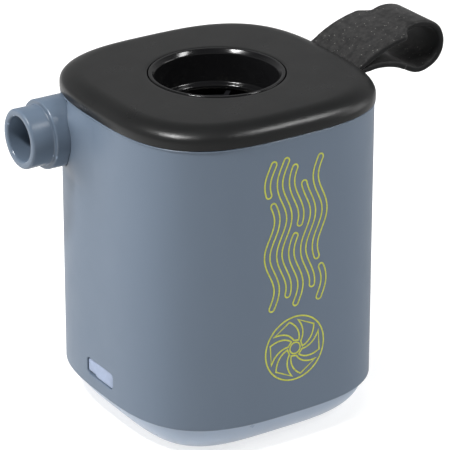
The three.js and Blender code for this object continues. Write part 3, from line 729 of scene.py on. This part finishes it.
def zip_loops(first, first_angles, second, second_angles):
    """Triangles between two loops of different lengths, both sorted by angle."""
    faces = []
    i = j = 0
    n, m = len(first), len(second)
    while i < n or j < m:
        next_i = first_angles[i + 1] if i + 1 < n else first_angles[0] + TAU
        next_j = second_angles[j + 1] if j + 1 < m else second_angles[0] + TAU
        if j >= m or (i < n and next_i <= next_j):
            faces.append((first[i % n], first[(i + 1) % n], second[j % m]))
            i += 1
        else:
            faces.append((first[i % n], second[(j + 1) % m], second[j % m]))
            j += 1
    return faces


# ---- lid and inlet
LID_FLAT_HALF = 21.4 * MM
LID_EDGE = LID_TOP - 2.5 * MM
LID_CEILING = LID_TOP - 1.7 * MM
LID_INNER_HALF = 22 * MM
RING_OUTER = RING_HIGH.x
STRAP_MIDDLE = (STRAP_LOW.y + STRAP_HIGH.y) / 2
STRAP_ROOT_HALF = (STRAP_HIGH.y - STRAP_LOW.y) / 2
NOTCH_TOP = LID_BOTTOM + 3 * MM
NOTCH_PLAY = 0.35 * MM  # beside the strap, and the slope of the notch's sides


def lid():
    """Rounded-over cover with a round hole for the inlet ring and a notch over the strap."""
    segments = 360
    across, down = LID_HALF - LID_FLAT_HALF, LID_TOP - LID_EDGE
    round_over = quarter((LID_FLAT_HALF, LID_EDGE), (across, down), 0.0, 14)
    foot = 0.18 * MM
    outside = [(LID_HALF - foot, LID_BOTTOM), (LID_HALF - foot * 0.3, LID_BOTTOM + foot * 0.3),
               (LID_HALF, LID_BOTTOM + foot)] + round_over
    rings = [square_ring(half, z, segments) for half, z in outside]
    hole = RING_OUTER + 0.2 * MM
    top_circle = round_ring(hole + 0.12 * MM, LID_TOP, segments)
    for share in (0.25, 0.5, 0.75, 0.93):
        rings.append(blend_rings(rings[len(outside) - 1], top_circle, share))
    rings.append(top_circle)
    rings += [round_ring(hole + 0.035 * MM, LID_TOP - 0.035 * MM, segments),
              round_ring(hole, LID_TOP - 0.12 * MM, segments), round_ring(hole, LID_CEILING, segments)]
    ceiling = square_ring(LID_INNER_HALF, LID_CEILING, segments)
    rings.append(blend_rings(rings[-1], ceiling, 0.5))
    rings.append(ceiling)
    rings.append(square_ring(LID_INNER_HALF, LID_BOTTOM, segments))
    rings = [[notched(point) for point in ring] for ring in rings]
    vertices, faces = loft(rings, closed_v=True)
    return make_object("lid_shell", vertices, faces, MATERIALS["lid_plastic"])


def notched(point):
    """Lifts the lid's lower edge over the strap."""
    x, y, z = point
    if x < 0 or z > NOTCH_TOP:
        return point
    half = STRAP_ROOT_HALF + NOTCH_PLAY
    inside = 1 - smooth(half, half + NOTCH_PLAY, abs(y - STRAP_MIDDLE))
    if inside <= 0:
        return point
    lifted = z + (NOTCH_TOP - z) * inside
    edge = max(lifted - LID_EDGE, 0.0) / (LID_TOP - LID_EDGE)
    reach = LID_FLAT_HALF + (LID_HALF - LID_FLAT_HALF) * math.sqrt(max(1 - edge * edge, 0.0))
    wall = math.hypot(x, y) / outline_reach(math.atan2(y, x))
    shrink = min(reach / wall, 1.0)
    return (x * shrink, y * shrink, lifted)


def inlet_ring():
    """Polished ring: flat lip, rounded bevel, straight throat and a stepped ledge at the bottom."""
    lip, floor = RING_HIGH.z, RING_LOW.z
    bore, eye, ledge = 11.05 * MM, 9.9 * MM, 56.7 * MM
    profile = rounded_profile([
        (eye, floor, 0.1 * MM), (RING_OUTER, floor, 0.1 * MM),
        (RING_OUTER, lip, 0.2 * MM), (bore + 0.6 * MM, lip - 0.03 * MM, 0.3 * MM),
        (bore, lip - 0.75 * MM, 0.5 * MM), (bore, ledge, 0.45 * MM),
        (eye, ledge, 0.3 * MM),
    ], 8)
    vertices, faces = turned(profile, 192)
    return make_object("inlet_ring_polished", vertices, faces, MATERIALS["ring_plastic"],
                       math.radians(60))


# ---- nozzle
def nozzle():
    """Outlet tube: rounded tip, step and collar, bored through."""
    tip, end = NOZZLE_LOW.x, NOZZLE_HIGH.x
    bore, tube, collar = 4.13 * MM, 5.54 * MM, NOZZLE_COLLAR
    step, shoulder = tip + 4.3 * MM, tip + 14.7 * MM
    profile = rounded_profile([
        (bore, tip, 0.45 * MM), (tube, tip, 0.5 * MM), (tube - 0.05 * MM, step, 0.25 * MM),
        (collar - 0.02 * MM, step, 0.3 * MM), (collar, shoulder, 0.1 * MM), (tube, shoulder, 0.1 * MM),
        (tube, end, 0.1 * MM), (bore, end, 0.1 * MM),
    ], 6)
    vertices, faces = turned(profile, 160, (NOZZLE.y, NOZZLE.z), "x")
    return make_object("nozzle_tube", vertices, faces, NOZZLE_PLASTIC, math.radians(60))


# ---- lamp base
BASE_TOP_HALF, BASE_FLAT_HALF = 23.1 * MM, 20.05 * MM
BASE_SLOPE_POWER = 2.28
BASE_THICKNESS = 1.6 * MM
NECK_GAP = 0.3 * MM  # between the neck and the inside of the case


def lamp_base():
    """Milky cup: a bulging, squarer skirt under the case and the neck that plugs into it."""
    segments, steps = 320, 20
    top, bottom = CASE_BOTTOM - 0.24 * MM, BASE_LOW.z
    upper, flat = BASE_TOP_HALF, BASE_FLAT_HALF
    skirt = [(0.0, bottom), (flat * 0.5, bottom), (flat - 0.35 * MM, bottom),
             (flat, bottom + 0.03 * MM)]
    for i in range(1, steps + 1):
        share = i / steps
        half = upper - (upper - flat) * (1 - share) ** BASE_SLOPE_POWER
        skirt.append((half, bottom + (top - bottom) * share))
    skirt.append((upper - 0.1 * MM, top + 0.08 * MM))
    rim, outside = CASE_BOTTOM + 1 * MM, INNER_HALF - NECK_GAP
    inner_floor = bottom + BASE_THICKNESS
    neck = [(outside, top + 0.1 * MM), (outside, rim), (21.4 * MM, rim),
            (flat, inner_floor + 0.8 * MM), (flat - 1.5 * MM, inner_floor), (0.0, inner_floor)]
    rings = [square_ring(max(half, 1e-6), z, segments, BASE_CORNER_POWER) for half, z in skirt]
    rings += [square_ring(max(half, 1e-6), z, segments) for half, z in neck]
    vertices, faces = loft(rings)
    return make_object("lamp_base", vertices, faces, MATERIALS["lamp_plastic"])


# ---- charging flap and button
PLUG_HALF_Y, PLUG_HALF_Z, PLUG_CORNER = 4.42 * MM, 1.57 * MM, 0.86 * MM
PLUG_PROUD = 0.28 * MM  # how far its face stands before the CAD flap's
# The plug's face, from its middle to its edge: share of the reach, depth in millimetres.
PLUG_FACE = [(0.0, 0.04), (0.3, 0.03), (0.6, 0.0), (0.85, -0.01), (0.95, 0.02), (1.0, 0.12)]


def flap_front_limit(y, z):
    """Furthest forward x of the plug at y, z that still turns clear of the hole's round corners."""
    hinge_x = (FLAP_LOW.x + FLAP_HIGH.x) / 2
    hinge_y = FLAP_HIGH.y - (FLAP_HIGH.x - FLAP_LOW.x) / 2
    half_y, half_z, corner = USB_HOLE
    rise = max(abs(z - USB_Z) - (half_z - corner), 0.0)
    room = half_y - corner + math.sqrt(max(corner ** 2 - rise ** 2, 0.0)) - hinge_y - 0.05 * MM
    near_hinge = smooth(hinge_y - 3.2 * MM, hinge_y - 1.25 * MM, y)
    return hinge_x - room - (1.0 - near_hinge) * 1.0 * MM


def usb_flap():
    """Soft plug with a slightly dished face, cut back near its hinge end to turn in the hole."""
    reach = slab_reach(PLUG_HALF_Y, PLUG_HALF_Z, PLUG_CORNER)
    segments = 96
    front, back = FLAP_LOW.x - PLUG_PROUD, FLAP_HIGH.x
    layers = [(share, front + depth * MM) for share, depth in PLUG_FACE] + [(1.0, back), (0.0, back)]
    rings = []
    for share, x in layers:
        ring = [slab_point(reach, share, TAU * i / segments, x) for i in range(segments)]
        rings.append([(max(x, flap_front_limit(y, z)), y, z) for x, y, z in ring])
    vertices, faces = loft(rings)
    return make_object("usb_plug", vertices, faces, MATERIALS["plug_silicone"], math.radians(50))


def slab_point(reach, share, angle, x):
    """A point of the plug at a share of its reach from its middle."""
    distance = max(reach(angle) * share, 1e-8)
    return (x, distance * math.cos(angle), USB_Z + distance * math.sin(angle))


def button():
    """Round push button: flange behind the wall, dished face and a raised bead in the middle."""
    low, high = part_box("power_button")
    inner, outer = low.y, high.y
    radius, flange = 4.7 * MM, 6.2 * MM
    edge, dip, dish_share = 0.4 * MM, 0.5 * MM, 0.9
    bead_flat, bead_round, bead_rise = 0.55 * MM, 0.35 * MM, 0.3 * MM
    profile = [(0.0, inner), (flange - 0.1 * MM, inner), (flange, inner + 0.1 * MM),
               (flange, inner + 0.4 * MM), (flange - 0.1 * MM, inner + 0.5 * MM),
               (radius, inner + 0.5 * MM)]
    profile += quarter((radius - edge, outer - edge), (edge, edge), 0.0, 6)
    for share in (0.85, 0.7, 0.55, 0.4, 0.28):
        profile.append((radius * share, outer - dip * (1 - (share / dish_share) ** 2)))
    dish = outer - dip
    profile += quarter((bead_flat, dish), (bead_round, bead_rise), 0.0, 5)
    profile.append((0.0, dish + bead_rise))
    vertices, faces = turned(profile, 120, (BUTTON.x, BUTTON.z), "y")
    return make_object("push_button", vertices, faces, MATERIALS["button_plastic"])


# ---- strap
STRAP_THICK = 1.25 * MM
STRAP_LOOP_HALF = 5.65 * MM  # half-width of the loop, past the narrowing
STRAP_NARROWING = (34.2 * MM, 36.4 * MM)  # x where it starts and ends
STRAP_TONGUE_END = 26 * MM  # x up to which the strap is the thinner tongue
# Middle line of the strap seen from the side, (x, z) in millimetres: from the tongue under
# the lid, out along the top band, round the eye and back along the lower band.
STRAP_LINE = [
    (18.4, 60.3), (20.6, 60.4), (22.8, 60.9), (24.4, 61.7), (26.1, 62.65), (27.9, 63.6), (29.8, 64.4),
    (32.1, 65.1), (34.2, 65.55), (36.2, 66.1), (38.2, 66.6), (40.2, 66.5), (42.0, 65.9), (43.5, 64.6),
    (44.2, 62.6), (43.95, 60.6), (42.8, 59.0), (40.9, 58.0), (39.2, 57.75), (37.5, 58.25), (35.6, 59.35),
    (33.4, 60.5), (31.0, 61.2), (28.5, 61.45), (26.2, 61.25), (24.4, 60.8), (22.8, 60.1), (20.6, 59.5),
    (18.4, 59.4),
]


def spline(points, per_span):
    """Catmull-Rom curve through points."""
    padded = [points[0], *points, points[-1]]
    line = []
    for i in range(1, len(padded) - 2):
        a, b, c, d = (Vector(p) for p in padded[i - 1:i + 3])
        for k in range(per_span):
            t = k / per_span
            line.append(0.5 * (2 * b + (c - a) * t + (2 * a - 5 * b + 4 * c - d) * t * t
                               + (3 * b - a - 3 * c + d) * t ** 3))
    line.append(Vector(points[-1]))
    return line


def strap_section(half_width, half_thick, edge_points=5):
    """Flat section with rounded edges: (across, up) points."""
    rounding = half_thick * 0.85
    points = []
    corners = ((1, 1, 0.0), (-1, 1, TAU / 4), (-1, -1, TAU / 2), (1, -1, TAU * 0.75))
    for side, up, start in corners:
        centre = (side * (half_width - rounding), up * (half_thick - rounding))
        points += quarter(centre, (rounding, rounding), start, edge_points)
    return points


def strap():
    """One band from the tongue under the lid round the loop and back, with both ends closed."""
    line = spline([(x * MM, z * MM) for x, z in STRAP_LINE], 8)
    rings = []
    for i, at in enumerate(line):
        before, after = line[max(i - 1, 0)], line[min(i + 1, len(line) - 1)]
        along = (after - before).normalized()
        normal = Vector((-along.y, along.x))
        narrow = smooth(*STRAP_NARROWING, at.x)
        half_width = STRAP_ROOT_HALF + (STRAP_LOOP_HALF - STRAP_ROOT_HALF) * narrow
        half_thick = STRAP_THICK * (0.5 if at.x > STRAP_TONGUE_END else 0.4)
        ring = []
        for across, up in strap_section(half_width, half_thick):
            offset = normal * up
            ring.append((at.x + offset.x, STRAP_MIDDLE + across, at.y + offset.y))
        rings.append(ring)
    vertices, faces = loft(rings)
    count = len(rings[0])
    faces.append(tuple(range(count)))
    faces.append(tuple(len(vertices) - count + i for i in range(count)))
    return make_object("silicone_strap", vertices, faces, MATERIALS["strap_silicone"],
                       math.radians(70))


# ---- printed drawing
INK_WIDTH = 0.27 * MM
INK_HEIGHT, INK_DEPTH = 0.03 * MM, 0.02 * MM  # above and below the case's surface
STREAM_WIDTH = 1.1 * MM
STREAM_FOOT = 27.6 * MM
STREAM_SWING, STREAM_WAVELENGTH = 1.0 * MM, 13.4 * MM
# Streams of air in millimetres: place across the face, lower end, upper end.
STREAMS = [
    (-4.7, 27.6, 47.2), (-4.7, 49.4, 55.0), (-2.2, 29.6, 55.2), (0.3, 27.6, 40.6),
    (0.3, 42.8, 53.6), (2.8, 30.4, 50.2), (5.3, 27.6, 33.4), (5.3, 35.6, 54.4),
]
FAN_X, FAN_Z = 0.3 * MM, 18.7 * MM
FAN_RIM, FAN_HUB, BLADE_ROOT, BLADE_TIP = 6.2 * MM, 1.1 * MM, 1.6 * MM, 5.5 * MM
BLADES = 6
BLADE_SWEEP, BLADE_WIDTH = 0.75, 0.72  # radians


def ink_outline(points):
    """A closed flat printed line on the -Y face through (x, z) points, with mitred corners."""
    total = len(points)
    vertices, faces = [], []
    for i, point in enumerate(points):
        here = Vector(point)
        before, after = Vector(points[i - 1]), Vector(points[(i + 1) % total])
        first, second = (here - before).normalized(), (after - here).normalized()
        side = Vector((-(first + second).y, (first + second).x)).normalized()
        lean = max(side.dot(Vector((-first.y, first.x))), 0.5)
        offset = side * (INK_WIDTH / 2 / lean)
        for place in (here - offset, here + offset):
            for lift in (INK_HEIGHT, -INK_DEPTH):
                depth = outline_depth(place.x, case_half(place.y)) + lift
                vertices.append((place.x, -depth, place.y))
    for i in range(total):
        a, b = 4 * i, 4 * ((i + 1) % total)
        for p, q in ((0, 2), (2, 3), (3, 1), (1, 0)):
            faces.append((a + p, b + p, b + q, a + q))
    return vertices, faces


def stream(x, low, high, steps=60):
    """Middle line of a stream of air that sways as it rises, x and z in metres."""
    points = []
    for i in range(steps + 1):
        z = low + (high - low) * i / steps
        sway = STREAM_SWING * math.sin(TAU * (z - STREAM_FOOT) / STREAM_WAVELENGTH)
        points.append(Vector((x + sway, z)))
    return points


def ribbon(points, width):
    """Closed outline of a band along a line, with round ends."""
    left, right = [], []
    for i, point in enumerate(points):
        along = (points[min(i + 1, len(points) - 1)] - points[max(i - 1, 0)]).normalized()
        normal = Vector((-along.y, along.x)) * (width / 2)
        left.append(point + normal)
        right.append(point - normal)
    return left + round_end(points[-1], left[-1]) + right[::-1] + round_end(points[0], right[0])


def round_end(end, start, steps=8):
    """Points of a half turn to the right about the end of a line, after the start."""
    arm = start - end
    points = []
    for k in range(1, steps):
        angle = -math.pi * k / steps
        points.append(end + Vector((arm.x * math.cos(angle) - arm.y * math.sin(angle),
                                    arm.x * math.sin(angle) + arm.y * math.cos(angle))))
    return points


def fan_blade(turn, steps=10):
    """Outline of one swept blade of the printed fan."""
    points = []
    for edge, outward in ((0.0, True), (BLADE_WIDTH, False)):
        for i in range(steps + 1):
            share = i / steps if outward else 1 - i / steps
            angle = turn + edge + BLADE_SWEEP * share
            reach = BLADE_ROOT + (BLADE_TIP - BLADE_ROOT) * share
            points.append((FAN_X + reach * math.cos(angle), FAN_Z + reach * math.sin(angle)))
    return points


def fan_circle(radius, steps):
    """A circle about the printed fan's middle."""
    return [(FAN_X + radius * math.cos(TAU * i / steps), FAN_Z + radius * math.sin(TAU * i / steps))
            for i in range(steps)]


def printed_drawing():
    """Generic drawing of moving air: an outlined fan with swaying streams above it."""
    outlines = [ribbon(stream(x * MM, low * MM, high * MM), STREAM_WIDTH) for x, low, high in STREAMS]
    outlines += [fan_circle(FAN_RIM, 96), fan_circle(FAN_HUB, 32)]
    outlines += [fan_blade(TAU * i / BLADES) for i in range(BLADES)]
    vertices, faces = [], []
    for points in outlines:
        more, quads = ink_outline(points)
        start = len(vertices)
        vertices += more
        faces += [tuple(start + i for i in quad) for quad in quads]
    return make_object("printed_air_drawing", vertices, faces, ink_material())


# ---- room, lights and camera
CAMERA_TURN = math.radians(-32.68)
CAMERA_TILT = math.radians(24.3)
CAMERA_DISTANCE = 0.5104
CAMERA_TARGET = Vector((0, 0, 32.6 * MM))
CAMERA_LENS = 224.0
CAMERA_SHIFT = (0.0182, 0.0059)
FLOOR_GLOW = 1.65
SWEEP_FRONT, SWEEP_DEPTH, SWEEP_RISE, SWEEP_BEND = -1.6, 0.9, 1.3, 0.5
SWEEP_HALF_WIDTH = 2.0
# Lights: name, direction (right, towards the camera, up) as the camera sees it, distance,
# size, watts, and whether glossy surfaces reflect it.
SOFTBOXES = [
    ("key_left", (-0.95, -0.12, 0.3), 0.8, (0.5, 0.6), 4.9, False),
    ("overhead", (0, 0, 1), 0.9, (0.5, 0.5), 4.0, False),
    ("fill_right", (0.97, -0.17, 0.15), 0.9, (0.4, 0.6), 1.8, True),
    ("glint_left", (-0.4, 0.3, 0.87), 0.9, (0.2, 0.07), 8.0, True),
    ("glint_right", (0.68, 0.14, 0.7), 0.9, (0.16, 0.3), 3.6, True),
]


def seen_from_camera(right, near, up):
    """A direction (right, towards the camera, up) in the frame's own axes."""
    return Vector((right * math.cos(CAMERA_TURN) + near * math.sin(CAMERA_TURN),
                   right * math.sin(CAMERA_TURN) - near * math.cos(CAMERA_TURN), up))


def stage_material():
    """Grey paper that glows, so that it looks as white as a back-lit studio sweep."""
    nodes = Nodes("stage_paper")
    paper = nodes.mix(nodes.noise(8, 3.0), (0.39, 0.39, 0.39), (0.41, 0.41, 0.41))
    nodes.colour(paper)
    nodes.link(paper, nodes.shader.inputs["Emission Color"])
    nodes.shader.inputs["Emission Strength"].default_value = FLOOR_GLOW
    nodes.shader.inputs["Roughness"].default_value = 0.9
    return nodes.material


def stage():
    """Pale sweep: a floor that curves up behind the pump."""
    bend, start = SWEEP_BEND, SWEEP_DEPTH - SWEEP_BEND
    profile = [(SWEEP_FRONT, 0.0), (start, 0.0)]
    for i in range(1, 13):
        turn = TAU / 4 * i / 12
        profile.append((start + bend * math.sin(turn), bend - bend * math.cos(turn)))
    profile.append((SWEEP_DEPTH, SWEEP_RISE))
    vertices, faces = [], []
    for side in (-SWEEP_HALF_WIDTH, SWEEP_HALF_WIDTH):
        for away, z in profile:
            vertices.append(seen_from_camera(side, -away, z - 0.2 * MM))
    count = len(profile)
    for i in range(count - 1):
        faces.append((i, i + 1, count + i + 1, count + i))
    floor = make_object("sweep", vertices, faces, stage_material())
    floor.visible_glossy = False  # glossy surfaces reflect room() instead


def aim(obj, direction, distance):
    """Puts a light or camera at a distance from the target, looking back at it."""
    obj.location = CAMERA_TARGET + direction * distance
    obj.rotation_euler = direction.to_track_quat("Z", "Y").to_euler()
    bpy.context.scene.collection.objects.link(obj)


def camera():
    """Long lens at the photograph's viewing angle."""
    data = bpy.data.cameras.new("camera")
    data.lens = CAMERA_LENS
    data.sensor_width = 36.0
    data.shift_x, data.shift_y = CAMERA_SHIFT
    data.clip_end = 20
    obj = bpy.data.objects.new("camera", data)
    aim(obj, seen_from_camera(0, math.cos(CAMERA_TILT), math.sin(CAMERA_TILT)), CAMERA_DISTANCE)
    bpy.context.scene.camera = obj


def lights():
    """Softboxes, the room around them and a plain view transform."""
    for name, direction, distance, size, watts, reflected in SOFTBOXES:
        data = bpy.data.lights.new(name, "AREA")
        data.shape = "RECTANGLE"
        data.size, data.size_y = size
        data.energy = watts
        obj = bpy.data.objects.new(name, data)
        aim(obj, seen_from_camera(*direction).normalized(), distance)
        obj.visible_glossy = reflected
    bpy.context.scene.world = room()
    bpy.context.scene.view_settings.view_transform = "Standard"


def room():
    """World: a pale floor, brighter to the camera's left, a dim horizon and a dark ceiling.

    It lights the scene softly, and glossy surfaces reflect it instead of the sweep.
    """
    world = bpy.data.worlds.new("room")
    world.use_nodes = True
    tree = world.node_tree
    background = tree.nodes["Background"]
    background.inputs["Color"].default_value = (1, 1, 1, 1)
    direction = tree.nodes.new("ShaderNodeTexCoord").outputs["Generated"]
    split = tree.nodes.new("ShaderNodeSeparateXYZ")
    tree.links.new(direction, split.inputs["Vector"])
    leftward = tree.nodes.new("ShaderNodeVectorMath")
    leftward.operation = "DOT_PRODUCT"
    leftward.inputs[1].default_value = (math.sin(CAMERA_TURN), math.cos(CAMERA_TURN), 0)
    tree.links.new(direction, leftward.inputs[0])

    def remap(source, low, high, to_low, to_high):
        node = tree.nodes.new("ShaderNodeMapRange")
        spans = {"From Min": low, "From Max": high, "To Min": to_low, "To Max": to_high}
        for name, value in spans.items():
            node.inputs[name].default_value = value
        tree.links.new(source, node.inputs["Value"])
        return node.outputs["Result"]

    floor = remap(leftward.outputs["Value"], -1, 1, 0.35, 1.05)
    ceiling = remap(split.outputs["Z"], 0.44, 0.66, 0.29, 0.02)
    blend = tree.nodes.new("ShaderNodeMix")
    tree.links.new(remap(split.outputs["Z"], -0.12, 0.0, 0, 1), blend.inputs["Factor"])
    tree.links.new(floor, blend.inputs["A"])
    tree.links.new(ceiling, blend.inputs["B"])
    tree.links.new(blend.outputs["Result"], background.inputs["Strength"])
    return world


# ---- assembly
finish_nodes()
camera()
lights()
stage()

piece(case_shell(), "case", "casing_plastic", "body_shell")
piece(nozzle(), "case", "casing_plastic", "outlet_nozzle")
piece(lid(), "case", "lid_plastic", "top_cover")
piece(inlet_ring(), "case", "ring_plastic", "inlet_ring")
piece(lamp_base(), "case", "lamp_plastic", "lamp_diffuser")
piece(usb_flap(), "flap", "plug_silicone", "usb_flap")
piece(button(), "button", "button_plastic", "power_button")
piece(printed_drawing(), "case", "casing_plastic")

STRAP = strap()
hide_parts("strap_loop", "strap_anchor")
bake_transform(STRAP)
